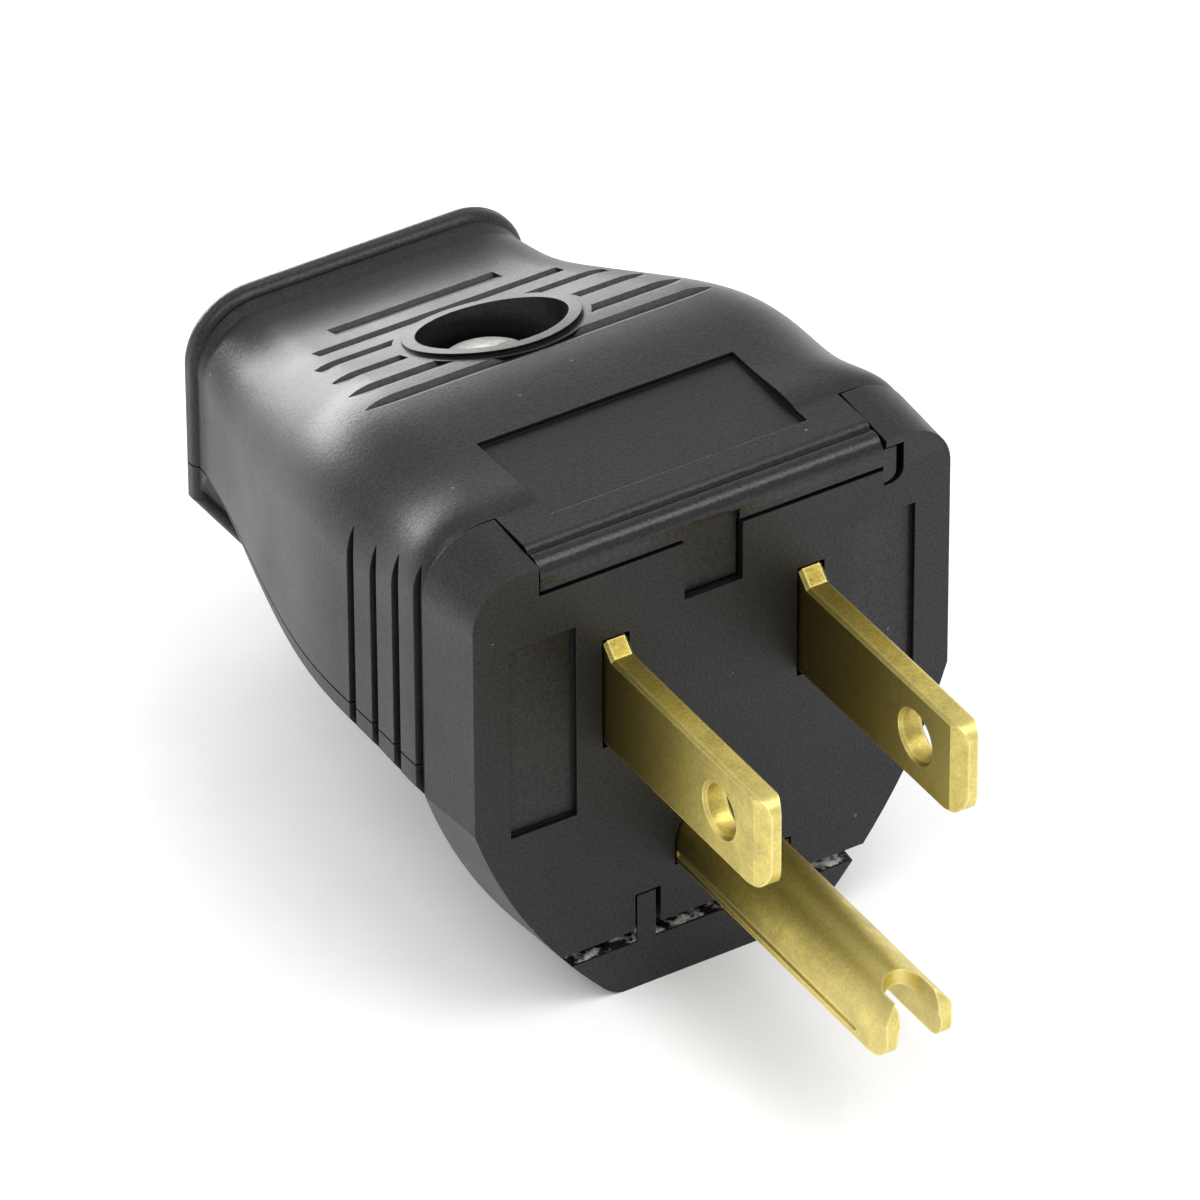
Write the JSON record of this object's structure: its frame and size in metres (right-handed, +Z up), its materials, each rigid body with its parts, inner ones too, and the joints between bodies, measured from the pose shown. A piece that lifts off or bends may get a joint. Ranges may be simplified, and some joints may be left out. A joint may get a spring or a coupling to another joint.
{
  "type": "grounded plug",
  "caption": "Straight user-wired grounded plug: black clamshell housing clamped by one top screw, two flat brass blades, a folded ground pin and an open cord inlet.",
  "frame": {"origin": "centre of the mating face between the two flat blades at their mid height", "axes": "+X to the right as seen from the blades, +Y back along the cord, +Z up, away from the ground pin; the blades point along -Y"},
  "size_m": [0.0318, 0.061, 0.0321],
  "materials": {
    "black_nylon": "fine moulded texture",
    "brass": "rolled, lightly mottled",
    "zinc_plate": "bright zinc plate",
    "brass_screw": "bright",
    "nickel_screw": "nickel plate",
    "green_screw": "green dyed plate"
  },
  "bodies": {
    "root": {"front_cap": "black_nylon", "top_cover": "black_nylon", "bottom_cover": "black_nylon", "terminal_block": "black_nylon", "hot_blade": "brass", "neutral_blade": "brass", "ground_pin": "brass", "hot_clamp_plate": "zinc_plate", "neutral_clamp_plate": "zinc_plate", "ground_clamp_plate": "zinc_plate", "hot_terminal_screw": "brass_screw", "neutral_terminal_screw": "nickel_screw", "ground_terminal_screw": "green_screw", "cover_screw": "zinc_plate", "screw_washer": "zinc_plate", "cover_nut": "zinc_plate"}
  },
  "joints": []
}
